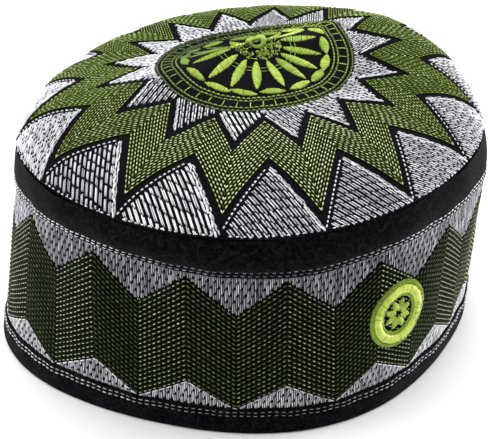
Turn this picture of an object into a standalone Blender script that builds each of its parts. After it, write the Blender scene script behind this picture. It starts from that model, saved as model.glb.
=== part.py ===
# A round embroidered kufi that stands on its rim: side wall, padded band, domed crown and
# bound rim. Metres, +Z up, the front at -Y, the floor at Z = 0.

import math
from collections import namedtuple

import bmesh
import bpy
from mathutils import Vector

STEPS = 72                  # faces round the hat

CLOTH = 0.0022              # crown and wall, embroidered cloth on its backing
TRIM = 0.0010               # folded cotton of the rim binding and the band's edge
GAP = 0.0003                # air between sewn pieces
TRIM_SEAT = TRIM + GAP      # how far the wall lies inside the trims' outer faces

BINDING_LEG = 0.0104        # height of the binding, its two stitch rows included
BINDING_ROUND = 0.0011      # rounding of the binding's lower edges
BINDING_TUCK = 0.0005       # the binding's upper edge curls in by this much

BAND_BULGE = 0.0021         # padding of the black band between its stitched edges
BAND_FLATTER = 0.75         # how much flatter the padding is at the left and right
BAND_HEM = 0.0017           # band below its lower stitch row
BAND_ROWS = 7               # rows of the band's rounded face
BAND_ROOF = 0.0011          # band's outer top edge below the crown seam
BAND_SLOPE = 0.0018         # how much lower its inner top edge lies
WALL_HIDDEN = 0.0030        # wall's top edge below the crown seam
WALL_ROWS = 4               # rows of faces up the wall, below the band
HIDDEN_ROWS = 3             # and behind the band

# One row is one wave round a ring: waves in a turn, height of a crest, a crest's place in
# degrees counted from +X towards +Y. Together they give the soft dents of the worn cloth.
Wave = namedtuple("Wave", "count crest_height crest_angle")
Ring = namedtuple("Ring", "radius height plan lift")

RIM = Ring(
    radius=0.0944, height=0.0,
    plan=(Wave(1, 0.0055, -177), Wave(2, 0.0043, 31), Wave(3, 0.0015, -56), Wave(4, 0.0024, 15)),
    lift=())
WALL_TOP = Ring(
    radius=0.0913, height=0.0643,
    plan=(Wave(1, 0.0014, 168), Wave(2, 0.0022, 19), Wave(3, 0.0009, -30), Wave(4, 0.0006, 17)),
    lift=(Wave(1, 0.0017, -28), Wave(2, 0.0011, 32), Wave(3, 0.0022, -29)))
SEAM = Ring(
    radius=0.0912, height=0.0835,
    plan=(Wave(1, 0.0021, -175), Wave(2, 0.0016, 51), Wave(3, 0.0005, -14), Wave(4, 0.0004, 30)),
    lift=(Wave(1, 0.0027, 56), Wave(2, 0.0009, 24), Wave(3, 0.0014, -30)))

CROWN_MIDDLE = Vector((0.0, 0.0075))    # the medallion's centre, in plan
CROWN_SPREAD = 0.10                     # how much wider the rings near the centre lie
CROWN_CENTRE_RISE = 0.0287              # crown centre above the seam
CROWN_SHOULDER = 0.0402                 # rise of the rounded shoulder
SHOULDER_WAVES = (Wave(1, 0.0154, 76), Wave(2, 0.0007, 9), Wave(3, 0.0039, 27))
TOP_WAVES = (Wave(1, 0.0137, 67), Wave(2, 0.0299, -69), Wave(3, 0.0018, 60))
EDGE_FULLNESS = 0.0038                  # how far the cloth puffs out near the seam
EDGE_WAVES = (Wave(1, 0.0028, 145), Wave(2, 0.0067, 18), Wave(3, 0.0016, 12))
CREASE_ANGLE = 28.0                     # direction of the soft ridge across the crown
CREASE_DEPTH = 0.0624                   # how far the two sides fall away from the ridge
CREASE_LEAN = 0.0020                    # the side beyond the ridge falls this much more
CREASE_SOFTNESS = 0.28                  # how widely the ridge is rounded over
CROWN_RINGS = (0.0, 0.07, 0.15, 0.24, 0.34, 0.45, 0.56, 0.67, 0.77, 0.86, 0.94, 1.0)

BOX_SHIFT = Vector((0.0067, 0.0, 0.0))     # puts the hat's box over the origin

SILVER_CLOTH = (0.42, 0.42, 0.46)
GREEN_AND_SILVER = (0.33, 0.37, 0.22)
BLACK_COTTON = (0.012, 0.012, 0.015)


def wave_sum(waves, turn):
    return sum(w.crest_height * math.cos(w.count * (turn - math.radians(w.crest_angle)))
               for w in waves)


def ring_radius(ring, turn):
    return ring.radius + wave_sum(ring.plan, turn)


def ring_height(ring, turn):
    return ring.height + wave_sum(ring.lift, turn)


# turn is the angle round the hat in radians, counted from +X towards +Y
def side_point(turn, height, outward):
    # height is counted on a plain hat with level rings, and outward from the trims' faces
    lower, upper = (RIM, WALL_TOP) if height <= WALL_TOP.height else (WALL_TOP, SEAM)
    share = (height - lower.height) / (upper.height - lower.height)
    radius = ring_radius(lower, turn) * (1 - share) + ring_radius(upper, turn) * share + outward
    real_height = ring_height(lower, turn) * (1 - share) + ring_height(upper, turn) * share
    return Vector((radius * math.cos(turn), radius * math.sin(turn), real_height)) + BOX_SHIFT


def crown_height(turn, reach):
    # reach runs from 0 at the crown's centre to 1 at the seam
    shoulder = CROWN_SHOULDER + wave_sum(SHOULDER_WAVES, turn) * reach ** 2 / (1 + reach ** 2)
    centre_drop = CROWN_SHOULDER - CROWN_CENTRE_RISE
    across = math.sin(turn - math.radians(CREASE_ANGLE))
    fall = CREASE_DEPTH * (math.hypot(across, CREASE_SOFTNESS) - CREASE_SOFTNESS / 2)
    return (ring_height(SEAM, turn) - wave_sum(SEAM.lift, turn) * (1 - reach ** 2)
            + shoulder * (1 - reach ** 4) - centre_drop * (1 - reach ** 2)
            + wave_sum(TOP_WAVES, turn) * reach ** 2 * (1 - reach)
            + (EDGE_FULLNESS + wave_sum(EDGE_WAVES, turn)) * reach ** 4 * (1 - reach ** 8)
            - (fall + CREASE_LEAN * across) * reach * (1 - reach))


def crown_point(turn, reach):
    radius = ring_radius(SEAM, turn)
    edge = Vector((radius * math.cos(turn), radius * math.sin(turn)))
    plan = CROWN_MIDDLE + (edge - CROWN_MIDDLE) * reach * (1 + CROWN_SPREAD * (1 - reach))
    return Vector((plan.x, plan.y, crown_height(turn, reach))) + BOX_SHIFT


def spin_profile(mesh, profile, closed):
    # profile holds (radius, height) pairs, and is turned once round the Z axis
    verts = [mesh.verts.new((radius, 0.0, height)) for radius, height in profile]
    pairs = list(zip(verts, verts[1:] + verts[:1])) if closed else list(zip(verts, verts[1:]))
    edges = [mesh.edges.new(pair) for pair in pairs]
    bmesh.ops.spin(mesh, geom=verts + edges, axis=(0, 0, 1), cent=(0, 0, 0),
                   angle=2 * math.pi, steps=STEPS, use_duplicate=False)
    bmesh.ops.remove_doubles(mesh, verts=mesh.verts, dist=0.00001)
    bmesh.ops.recalc_face_normals(mesh, faces=mesh.faces)


def cloth_material(name, colour, roughness):
    material = bpy.data.materials.new(name)
    material.use_nodes = True
    shader = material.node_tree.nodes["Principled BSDF"]
    shader.inputs["Base Color"].default_value = (*colour, 1.0)
    shader.inputs["Roughness"].default_value = roughness
    shader.inputs["Metallic"].default_value = 0.0
    return material


def add_piece(name, mesh, material, collection):
    data = bpy.data.meshes.new(name)
    mesh.to_mesh(data)
    mesh.free()
    data.materials.append(material)
    data.shade_smooth()
    data.set_sharp_from_angle(angle=math.radians(50))
    piece = bpy.data.objects.new(name, data)
    collection.objects.link(piece)
    return piece


def make_side_piece(name, section, material, collection):
    # section is a closed outline of (outward, height) pairs on the plain round hat
    mesh = bmesh.new()
    spin_profile(mesh, [(SEAM.radius + outward, height) for outward, height in section], True)
    for vert in mesh.verts:
        turn = math.atan2(vert.co.y, vert.co.x)
        outward = math.hypot(vert.co.x, vert.co.y) - SEAM.radius
        if outward > 0:                     # only the band's padding stands proud
            outward *= 1 - BAND_FLATTER * math.cos(turn) ** 2
        vert.co = side_point(turn, vert.co.z, outward)
    return add_piece(name, mesh, material, collection)


def even_rows(start, end, count):
    return [start + (end - start) * row / count for row in range(count + 1)]


def make_side_wall(collection):
    outer = -TRIM_SEAT
    inner = outer - CLOTH
    shown = even_rows(TRIM_SEAT, WALL_TOP.height, WALL_ROWS)
    hidden = even_rows(WALL_TOP.height, SEAM.height - WALL_HIDDEN, HIDDEN_ROWS)
    heights = shown + hidden[1:]
    section = [(outer, height) for height in reversed(heights)]
    section += [(inner, height) for height in heights]
    material = cloth_material("wall_cloth", SILVER_CLOTH, 0.6)
    return make_side_piece("side_wall", section, material, collection)


def make_rim_binding(collection):
    # a folded strip that holds the wall's lower edge between its two legs
    inner_leg = -2 * TRIM_SEAT - CLOTH
    rounding = BINDING_ROUND
    corner = rounding * (1 - math.sqrt(0.5))
    section = [(-BINDING_TUCK, BINDING_LEG), (0.0, BINDING_LEG - 2 * BINDING_TUCK),
               (0.0, rounding), (-corner, corner), (-rounding, 0.0),
               (inner_leg + rounding, 0.0), (inner_leg + corner, corner), (inner_leg, rounding),
               (inner_leg, BINDING_LEG - 2 * BINDING_TUCK), (inner_leg + BINDING_TUCK, BINDING_LEG),
               (inner_leg + TRIM, BINDING_LEG), (inner_leg + TRIM, TRIM),
               (-TRIM, TRIM), (-TRIM, BINDING_LEG)]
    material = cloth_material("binding_cotton", BLACK_COTTON, 0.85)
    return make_side_piece("rim_binding", section, material, collection)


def make_crown_band(collection):
    # a padded strip over the wall's top, stitched along its hem and sewn to the crown's edge
    hem = WALL_TOP.height - BAND_HEM
    roof = SEAM.height - BAND_ROOF
    section = [(BAND_BULGE * math.sin(math.pi * row / BAND_ROWS), height)
               for row, height in enumerate(even_rows(roof, hem, BAND_ROWS))]
    section.append((-TRIM, hem))
    section += [(-TRIM, height) for height in
                even_rows(WALL_TOP.height, roof - BAND_SLOPE, HIDDEN_ROWS)]
    material = cloth_material("band_cotton", BLACK_COTTON, 0.85)
    return make_side_piece("crown_band", section, material, collection)


def make_crown_top(collection):
    mesh = bmesh.new()
    spin_profile(mesh, [(reach * SEAM.radius, 0.0) for reach in CROWN_RINGS], False)
    for vert in mesh.verts:
        turn = math.atan2(vert.co.y, vert.co.x)
        vert.co = crown_point(turn, math.hypot(vert.co.x, vert.co.y) / SEAM.radius)
    if sum(face.normal.z for face in mesh.faces) < 0:
        bmesh.ops.reverse_faces(mesh, faces=mesh.faces)     # so that the cloth thickens inwards
    material = cloth_material("crown_cloth", GREEN_AND_SILVER, 0.6)
    piece = add_piece("crown_top", mesh, material, collection)
    wall = piece.modifiers.new("cloth", "SOLIDIFY")
    wall.thickness = CLOTH
    wall.offset = -1.0
    wall.use_even_offset = True
    wall.use_quality_normals = True
    return piece


def main():
    for thing in list(bpy.data.objects):
        bpy.data.objects.remove(thing)
    collection = bpy.data.collections.new("kufi")
    bpy.context.scene.collection.children.link(collection)
    make_side_wall(collection)
    make_rim_binding(collection)
    make_crown_band(collection)
    make_crown_top(collection)


main()
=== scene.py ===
import math
from functools import partial

import bpy
import numpy as np
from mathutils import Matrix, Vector


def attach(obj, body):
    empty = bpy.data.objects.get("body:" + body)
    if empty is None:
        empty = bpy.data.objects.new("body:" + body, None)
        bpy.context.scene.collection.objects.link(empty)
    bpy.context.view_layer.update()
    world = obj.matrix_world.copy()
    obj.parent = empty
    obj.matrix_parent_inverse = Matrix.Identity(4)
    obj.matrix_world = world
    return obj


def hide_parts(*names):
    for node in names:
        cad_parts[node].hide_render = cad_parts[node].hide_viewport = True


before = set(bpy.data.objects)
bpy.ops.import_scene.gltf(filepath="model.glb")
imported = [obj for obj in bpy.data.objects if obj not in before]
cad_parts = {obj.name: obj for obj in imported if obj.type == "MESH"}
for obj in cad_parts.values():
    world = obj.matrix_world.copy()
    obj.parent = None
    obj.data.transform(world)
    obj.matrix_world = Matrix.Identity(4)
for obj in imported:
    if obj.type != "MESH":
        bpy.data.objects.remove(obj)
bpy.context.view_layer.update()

# Metres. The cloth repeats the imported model's shape, but the band's hem lies a little higher. A
# place on the crown is a spot on a flat round pattern as wide as the seam, and a place on the side
# is a length round the hat, counted from +X towards +Y, and a height. Each wave of a ring is its
# count, crest height and angle.
rim = {"radius": 0.0944, "height": 0.0, "lift": [],
       "plan": [(1, 0.0055, -177), (2, 0.0043, 31), (3, 0.0015, -56), (4, 0.0024, 15)]}
wallTop = {"radius": 0.0913, "height": 0.0643,
           "plan": [(1, 0.0014, 168), (2, 0.0022, 19), (3, 0.0009, -30), (4, 0.0006, 17)],
           "lift": [(1, 0.0017, -28), (2, 0.0011, 32), (3, 0.0022, -29)]}
seam = {"radius": 0.0912, "height": 0.0835,
        "plan": [(1, 0.0021, -175), (2, 0.0016, 51), (3, 0.0005, -14), (4, 0.0004, 30)],
        "lift": [(1, 0.0027, 56), (2, 0.0009, 24), (3, 0.0014, -30)]}
dome = {"middle": (0.0, 0.0075), "spread": 0.10, "centreRise": 0.0287, "shoulder": 0.0402,
        "shoulderWaves": [(1, 0.0154, 76), (2, 0.0007, 9), (3, 0.0039, 27)],
        "topWaves": [(1, 0.0137, 67), (2, 0.0299, -69), (3, 0.0018, 60)],
        "edgeFullness": 0.0038, "edgeWaves": [(1, 0.0028, 145), (2, 0.0067, 18), (3, 0.0016, 12)],
        "creaseAngle": 28.0, "creaseDepth": 0.0624, "creaseLean": 0.0020, "creaseSoftness": 0.28}
cloth = {"thickness": 0.0022, "trim": 0.0010, "gap": 0.0003, "unevenness": 0.0002, "pucker": 0.00012,
         "bindingLeg": 0.0104, "bindingRound": 0.0011, "bindingTuck": 0.0005, "bindingGroove": 0.0003,
         "bandBulge": 0.0021, "bandFlatter": 0.75, "bandHem": 0.0020, "bandRoof": 0.0011,
         "bandSlope": 0.0018, "bandGroove": 0.0004, "wallHidden": 0.0017, "flatFoot": 0.004,
         "grooveWidth": 0.0007, "puckerWidth": 0.0020,
         # angle, and how far the band's hem and all that is sewn along it rise there
         "hemRise": [(-145, 0.0030), (-122, 0.0031), (-112, 0.0021), (-90, 0.0017), (-74, 0.0014),
                     (-62, 0.0043), (-48, 0.0038), (-25, 0.0038), (20, 0.0034), (90, 0.0028),
                     (160, 0.0028)]}
bandStitchRows = (wallTop["height"] - 0.0008, wallTop["height"] + 0.0015)
bindingStitchRows = (0.0076, 0.0091)
hatShift = np.array((0.0067, 0.0, 0.0))     # puts the hat's box over the origin
wallSeat = cloth["trim"] + cloth["gap"]     # the wall lies this far inside the trims' faces
random = np.random.default_rng(7)


def waveSum(waves, turn):
    return sum(crest * np.cos(count * (turn - math.radians(angle)))
               for count, crest, angle in waves)


def ringRadius(ring, turn):
    return ring["radius"] + waveSum(ring["plan"], turn)


def ringHeight(ring, turn):
    return ring["height"] + waveSum(ring["lift"], turn)


def rowsOf(*columns):
    # rows of numbers from columns of them, where a single number fills its column
    return np.stack(np.broadcast_arrays(*columns), axis=-1)


def circleOf(turn):
    return rowsOf(np.cos(turn), np.sin(turn))


def sidePoints(turn, height, outward):
    onWall = height <= wallTop["height"]
    share = np.where(onWall, height / wallTop["height"],
                     (height - wallTop["height"]) / (seam["height"] - wallTop["height"]))

    def between(measure):
        low = np.where(onWall, measure(rim, turn), measure(wallTop, turn))
        high = np.where(onWall, measure(wallTop, turn), measure(seam, turn))
        return low + (high - low) * share

    uneven = cloth["unevenness"] * (np.sin(9 * turn + 60 * height) + np.sin(17 * turn - 95 * height)
                                    + 0.6 * np.sin(31 * turn + 150 * height + 1.0))
    fade = np.clip(height / cloth["flatFoot"], 0, 1)        # the rim itself stays flat on the floor
    radius = between(ringRadius) + outward + uneven * fade
    return rowsOf(radius * np.cos(turn), radius * np.sin(turn), between(ringHeight)) + hatShift


def crownHeight(turn, reach):
    shoulder = dome["shoulder"] + waveSum(dome["shoulderWaves"], turn) * reach**2 / (1 + reach**2)
    across = np.sin(turn - math.radians(dome["creaseAngle"]))
    softness = dome["creaseSoftness"]
    fall = dome["creaseDepth"] * (np.hypot(across, softness) - softness / 2)
    uneven = cloth["unevenness"] * (np.sin(11 * turn + 14 * reach) + np.sin(23 * turn - 19 * reach))
    return (ringHeight(seam, turn) - waveSum(seam["lift"], turn) * (1 - reach**2)
            + shoulder * (1 - reach**4) - (dome["shoulder"] - dome["centreRise"]) * (1 - reach**2)
            + waveSum(dome["topWaves"], turn) * reach**2 * (1 - reach)
            - (fall + dome["creaseLean"] * across) * reach * (1 - reach)
            + (dome["edgeFullness"] + waveSum(dome["edgeWaves"], turn)) * reach**4 * (1 - reach**8)
            + uneven * reach * (1 - reach**4))


def crownFace(spots):
    turn = np.arctan2(spots[..., 1], spots[..., 0])
    reach = np.hypot(spots[..., 0], spots[..., 1]) / seam["radius"]
    edge = circleOf(turn) * ringRadius(seam, turn)[..., None]
    middle = np.array(dome["middle"])
    plan = middle + (edge - middle) * (reach * (1 + dome["spread"] * (1 - reach)))[..., None]
    return np.concatenate([plan, crownHeight(turn, reach)[..., None]], axis=-1) + hatShift


def wallFace(spots):
    return sidePoints(spots[..., 0] / seam["radius"], spots[..., 1], -wallSeat)


def stitchHollows(turn, height, rows, depth):
    # the groove that each stitch row presses into padded cotton, and the small gathers beside it
    near, wide = (sum(np.exp(-((height - row) / cloth[width]) ** 2) for row in rows)
                  for width in ("grooveWidth", "puckerWidth"))
    gathers = np.sin(47 * turn + 2 * np.sin(5 * turn) + 240 * height)
    return cloth["pucker"] * gathers * wide - depth * near


def hemRise(turn):
    angles, rises = zip(*cloth["hemRise"])
    return np.mean([np.interp(np.degrees(turn) + step, angles, rises, period=360)
                    for step in (-6, -3, 0, 3, 6)], axis=0)


def downBand(height):
    roof, hem = seam["height"] - cloth["bandRoof"], wallTop["height"] - cloth["bandHem"]
    return np.clip((roof - height) / (roof - hem), 0, 1)


def bandPoints(turn, height, outward):
    # the band's places, squeezed up towards its roof where the hem rises
    return sidePoints(turn, height + hemRise(turn) * downBand(height), outward)


def bandBulge(turn, height):
    share = downBand(height)
    fullness = 1 - cloth["bandFlatter"] * np.cos(turn) ** 2       # the padding is thinner at the sides
    return (cloth["bandBulge"] * fullness * np.sin(math.pi * share)
            + stitchHollows(turn, height, bandStitchRows, cloth["bandGroove"]))


def bandFace(spots):
    turn, height = spots[..., 0] / seam["radius"], spots[..., 1]
    return bandPoints(turn, height, bandBulge(turn, height))


def bindingBulge(turn, height):
    return stitchHollows(turn, height, bindingStitchRows, cloth["bindingGroove"])


def bindingFace(spots):
    turn, height = spots[..., 0] / seam["radius"], spots[..., 1]
    return sidePoints(turn, height, bindingBulge(turn, height))


def unit(vectors):
    return vectors / np.linalg.norm(vectors, axis=-1, keepdims=True)


def sidewaysOf(heading):
    return rowsOf(-heading[..., 1], heading[..., 0])


def outOf(surface, spots):
    # unit direction out of the cloth at each spot
    step = 0.00004
    across, up = np.array((step, 0.0)), np.array((0.0, step))
    return unit(np.cross(surface(spots + across) - surface(spots - across),
                         surface(spots + up) - surface(spots - up)))


# Shader groups

def fill(tree, node, inputs):
    # inputs gives each socket, by name or number, its value or the socket that is linked to it
    for label, value in inputs.items():
        if isinstance(value, bpy.types.NodeSocket):
            tree.links.new(value, node.inputs[label])
        else:
            node.inputs[label].default_value = value


def addNode(tree, kind, inputs=None, **settings):
    node = tree.nodes.new(kind)
    for name, value in settings.items():
        setattr(node, name, value)
    fill(tree, node, inputs or {})
    return node


def nodeGroup(name, treeKind, inputs, outputs):
    group = bpy.data.node_groups.new(name, treeKind)
    for label, kind, value in inputs:
        socket = group.interface.new_socket(label, in_out="INPUT", socket_type="NodeSocket" + kind)
        if value is not None:
            socket.default_value = value
    for label, kind in outputs:
        group.interface.new_socket(label, in_out="OUTPUT", socket_type="NodeSocket" + kind)
    return group, group.nodes.new("NodeGroupInput"), group.nodes.new("NodeGroupOutput")


def mathNode(tree, operation, *values):
    node = addNode(tree, "ShaderNodeMath", dict(enumerate(values)), operation=operation)
    return node.outputs["Value"]


def splitNode(tree, vector):
    return addNode(tree, "ShaderNodeSeparateXYZ", {0: vector}).outputs


def noiseNode(tree, scale, detail):
    place = tree.nodes.new("ShaderNodeTexCoord").outputs["Object"]
    noise = addNode(tree, "ShaderNodeTexNoise", {"Vector": place, "Detail": detail, "Scale": scale})
    return noise.outputs["Fac"]


def buildClothWeave():
    # slanting twill ribs crossed by finer yarns, with a brushed nap in soft patches
    group, given, made = nodeGroup(
        "clothWeave", "ShaderNodeTree",
        [("Place", "Vector", None), ("Ribs Along", "Float", 900.0), ("Ribs Up", "Float", 120.0),
         ("Patch Scale", "Float", 60.0), ("Nap", "Float", 0.5)],
        [("Height", "Float"), ("Shade", "Float")])
    calc = partial(mathNode, group)
    place = splitNode(group, given.outputs["Place"])
    along = calc("MULTIPLY", place["X"], given.outputs["Ribs Along"])
    up = calc("MULTIPLY", place["Y"], given.outputs["Ribs Up"])
    rib = calc("SINE", calc("MULTIPLY", calc("ADD", along, up), 2 * math.pi))
    yarn = calc("SINE", calc("MULTIPLY", calc("SUBTRACT", along, up), 4 * math.pi))
    weave = calc("MULTIPLY_ADD", rib, 0.35, calc("MULTIPLY_ADD", yarn, 0.15, 0.5))
    grain = noiseNode(group, 1500.0, 3.0)
    patches = noiseNode(group, given.outputs["Patch Scale"], 4.0)
    napAndPaintedLight = calc("MULTIPLY", calc("MULTIPLY_ADD", grain, 0.7, patches), given.outputs["Nap"])
    fill(group, made, {"Height": calc("ADD", weave, calc("MULTIPLY", napAndPaintedLight, 2.0)),
                       "Shade": calc("MULTIPLY_ADD", weave, 0.3, napAndPaintedLight)})
    return group


def buildThreadTwist():
    # the slanting plies of a twisted thread, and the painted shade where it dives in, which is a
    # painted highlight there where End Shadow is below zero
    group, given, made = nodeGroup(
        "threadTwist", "ShaderNodeTree",
        [("UV", "Vector", None), ("Plies", "Float", 5.0), ("Shade", "Float", 0.5),
         ("End Shadow", "Float", 0.6)],
        [("Height", "Float"), ("Tone", "Float")])
    calc = partial(mathNode, group)
    place = splitNode(group, given.outputs["UV"])
    slant = calc("MULTIPLY_ADD", place["X"], given.outputs["Plies"], calc("MULTIPLY", place["Y"], 2.0))
    ply = calc("MULTIPLY_ADD", calc("SINE", calc("MULTIPLY", slant, 2 * math.pi)), 0.5, 0.5)
    fromMiddle = calc("ABSOLUTE", calc("MULTIPLY_ADD", place["X"], 2.0, -1.0))
    endShadow = calc("MULTIPLY", calc("POWER", fromMiddle, 3.0), given.outputs["End Shadow"])
    lit = calc("MULTIPLY", given.outputs["Shade"], calc("SUBTRACT", 1.0, endShadow))
    tone = calc("MULTIPLY_ADD", calc("SUBTRACT", ply, 0.5), 0.12, lit)
    fill(group, made, {"Height": ply, "Tone": tone})
    return group


clothWeave = buildClothWeave()
threadTwist = buildThreadTwist()


# Finishes

def newFinish(name, roughness, gloss, sheen=0.0):
    finish = bpy.data.materials.new(name)
    finish.use_nodes = True
    shader = finish.node_tree.nodes["Principled BSDF"]
    fill(finish.node_tree, shader, {"Roughness": roughness, "Specular IOR Level": gloss,
                                    "Sheen Weight": sheen, "Sheen Roughness": 0.35})
    return finish, finish.node_tree, shader


def toneRamp(tree, tone, stops):
    ramp = addNode(tree, "ShaderNodeValToRGB", {"Fac": tone})
    elements = ramp.color_ramp.elements
    while len(elements) < len(stops):
        elements.new(0.5)
    for element, (place, colour) in zip(elements, stops):
        element.position = place
        element.color = (*colour, 1.0)
    return ramp.outputs["Color"]


def addBump(tree, shader, height, distance, strength):
    bump = addNode(tree, "ShaderNodeBump", {"Height": height, "Distance": distance, "Strength": strength})
    fill(tree, shader, {"Normal": bump.outputs["Normal"]})


def uvNode(tree):
    return addNode(tree, "ShaderNodeUVMap", uv_map="UVMap").outputs["UV"]


def storedNode(tree, name):
    return addNode(tree, "ShaderNodeAttribute", attribute_name=name).outputs["Fac"]


def threadFinish(name, stops, roughness, gloss, sheen, plies, endShadow):
    finish, tree, shader = newFinish(name, roughness, gloss, sheen)
    twist = addNode(tree, "ShaderNodeGroup",
                    {"UV": uvNode(tree), "Plies": plies, "End Shadow": endShadow,
                     "Shade": storedNode(tree, "shade")}, node_tree=threadTwist)
    fill(tree, shader, {"Base Color": toneRamp(tree, twist.outputs["Tone"], stops)})
    addBump(tree, shader, twist.outputs["Height"], 0.00008, 0.5)
    return finish


def clothFinish(name, stops, sheen, onPattern, ribsAlong, ribsUp, patchScale, napAndPaintedLight):
    # ribs are counted along the piece's own UV map, or for each metre of the object
    finish, tree, shader = newFinish(name, 0.9, 0.02, sheen)
    place = uvNode(tree) if onPattern else tree.nodes.new("ShaderNodeTexCoord").outputs["Object"]
    weave = addNode(tree, "ShaderNodeGroup",
                    {"Place": place, "Ribs Along": ribsAlong, "Ribs Up": ribsUp,
                     "Patch Scale": patchScale, "Nap": napAndPaintedLight}, node_tree=clothWeave)
    fill(tree, shader, {"Base Color": toneRamp(tree, weave.outputs["Shade"], stops)})
    addBump(tree, shader, weave.outputs["Height"], 0.00012, 0.6)
    return finish


def rowFinish(name, rowColour, gapColour):
    # thread laid in rows: the row number is in the cloth's own UV map, and how much lighter the
    # ground is painted at each point, as painted sheen and painted light, is in its "lift"
    finish, tree, shader = newFinish(name, 0.6, 0.02)
    calc = partial(mathNode, tree)
    fromRow = calc("ABSOLUTE", calc("SUBTRACT", calc("FRACT", splitNode(tree, uvNode(tree))["Y"]), 0.5))
    ridge = calc("SUBTRACT", 1.0, calc("MULTIPLY", fromRow, 2.0))
    colour = toneRamp(tree, ridge, [(0.35, gapColour), (0.75, rowColour)])
    # painted sheen and painted light: the row colour is scaled up by the stored lift
    scale = addNode(tree, "ShaderNodeVectorMath",
                    {0: colour, "Scale": calc("ADD", storedNode(tree, "lift"), 1.0)}, operation="SCALE")
    fill(tree, shader, {"Base Color": scale.outputs[0]})
    addBump(tree, shader, ridge, 0.0003, 0.8)
    return finish


# Place on the tone scale, and colour there
blackStops = [(0.35, (0.003, 0.003, 0.004)), (0.80, (0.012, 0.012, 0.016))]
cottonStops = [(0.56, (0.0006, 0.0006, 0.001)), (0.70, (0.0016, 0.0016, 0.0022)),
               (0.86, (0.017, 0.017, 0.020))]
silverStops = [(0.0, (0.01, 0.01, 0.014)), (0.5, (0.342, 0.350, 0.388)), (1.0, (0.95, 0.95, 0.98))]
starStops = [(0.0, (0.004, 0.008, 0.001)), (0.5, (0.16, 0.25, 0.025)), (1.0, (0.88, 0.94, 0.62))]
sideStops = [(0.0, (0.002, 0.004, 0.001)), (0.5, (0.115, 0.145, 0.060)), (1.0, (0.80, 0.86, 0.56))]
limeStops = [(0.0, (0.01, 0.03, 0.001)), (0.5, (0.31, 0.47, 0.035)), (1.0, (0.86, 0.99, 0.20))]
whiteStops = [(0.0, (0.03, 0.03, 0.035)), (0.5, (0.25, 0.25, 0.28)), (1.0, (0.95, 0.95, 0.98))]

finishes = {
    # sheen, on its pattern, ribs along, ribs up, patch scale, nap
    "crownCloth": clothFinish("crownCloth", blackStops, 0.02, False, 1500, 1500, 60, 0.35),
    "wallCloth": clothFinish("wallCloth", blackStops, 0.02, True, 900, 120, 60, 0.35),
    "cotton": clothFinish("blackCotton", cottonStops, 0.06, True, 700, 40, 700, 0.60),
    # roughness, gloss, sheen, plies, end shadow; end shadow is painted shade at a thread's ends,
    # a painted highlight where it is below zero
    "silver": threadFinish("silverThread", silverStops, 0.42, 0.3, 0.10, 5, 0.30),
    "star": threadFinish("starThread", starStops, 0.42, 0.3, 0.08, 4, 0.75),
    "side": threadFinish("sideThread", sideStops, 0.45, 0.25, 0.12, 4, 0.75),
    # painted highlight: the satin's ends are painted lighter
    "lime": threadFinish("limeSatin", limeStops, 0.35, 0.45, 0.05, 6, -0.25),
    "white": threadFinish("sewingThread", whiteStops, 0.6, 0.3, 0.05, 6, 0.5),
    # on a row, and between two rows
    "starGround": rowFinish("starGround", (0.030, 0.048, 0.003), (0.001, 0.002, 0.0005)),
    "sideGround": rowFinish("sideGround", (0.007, 0.013, 0.0015), (0.0008, 0.0014, 0.0004)),
}
print("finishes ready")


# Cloth shells

def addObject(name, data):
    made = bpy.data.objects.new(name, data)
    bpy.context.scene.collection.objects.link(made)
    return made


def addPiece(name, mesh, finish):
    mesh.name = name
    if finish is not None:
        mesh.materials.clear()
        mesh.materials.append(finish)
    mesh.shade_smooth()
    piece = addObject(name, mesh)
    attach(piece, "root")
    return piece


def gridMesh(name, grid, closed, rowMarks=None):
    # grid holds rows of points round the hat; closed joins the last row to the first, and an open
    # grid is closed by one point at the middle of its first and of its last row
    rows, columns = grid.shape[:2]
    points = grid.reshape(-1, 3)
    number = np.arange(rows * columns).reshape(rows, columns)
    marks = np.arange(rows) / (rows - 1) if rowMarks is None else np.array(rowMarks, float)
    bands = [(row, (row + 1) % rows) for row in range(rows if closed else rows - 1)]
    faces, uv = [], []
    right = np.roll(np.arange(columns), -1)
    turnShare = np.arange(columns) / columns
    after = turnShare + 1 / columns
    for low, high in bands:
        faces.append(rowsOf(number[low], number[low][right], number[high][right], number[high]))
        uv.append(rowsOf(turnShare, marks[low], after, marks[low],
                         after, marks[high], turnShare, marks[high]))
    faces = np.concatenate(faces)
    loops, starts = faces.ravel(), np.arange(len(faces)) * 4
    uv = np.concatenate(uv).reshape(-1, 2)
    if not closed:
        points = np.concatenate([points, [grid[0].mean(axis=0), grid[-1].mean(axis=0)]])
        starts = np.concatenate([starts, len(loops) + np.arange(columns * 2) * 3])
        for pole, row in ((0, 0), (1, -1)):
            ends = [(number[row], turnShare), (number[row][right], after)]
            (first, firstShare), (second, secondShare) = ends if pole else ends[::-1]
            loops = np.concatenate([loops, rowsOf(rows * columns + pole, first, second).ravel()])
            capUv = rowsOf(turnShare + 0.5 / columns, marks[row], firstShare, marks[row],
                           secondShare, marks[row])
            uv = np.concatenate([uv, capUv.reshape(-1, 2)])
    mesh = bpy.data.meshes.new(name)
    mesh.vertices.add(len(points))
    mesh.vertices.foreach_set("co", points.astype(np.float32).ravel())
    mesh.loops.add(len(loops))
    mesh.loops.foreach_set("vertex_index", loops.astype(np.int32))
    mesh.polygons.add(len(starts))
    mesh.polygons.foreach_set("loop_start", starts.astype(np.int32))
    layer = mesh.uv_layers.new(name="UVMap")
    layer.data.foreach_set("uv", uv.astype(np.float32).ravel())
    mesh.update(calc_edges=True)
    mesh.validate()
    turnOutward(mesh)
    return mesh


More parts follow.
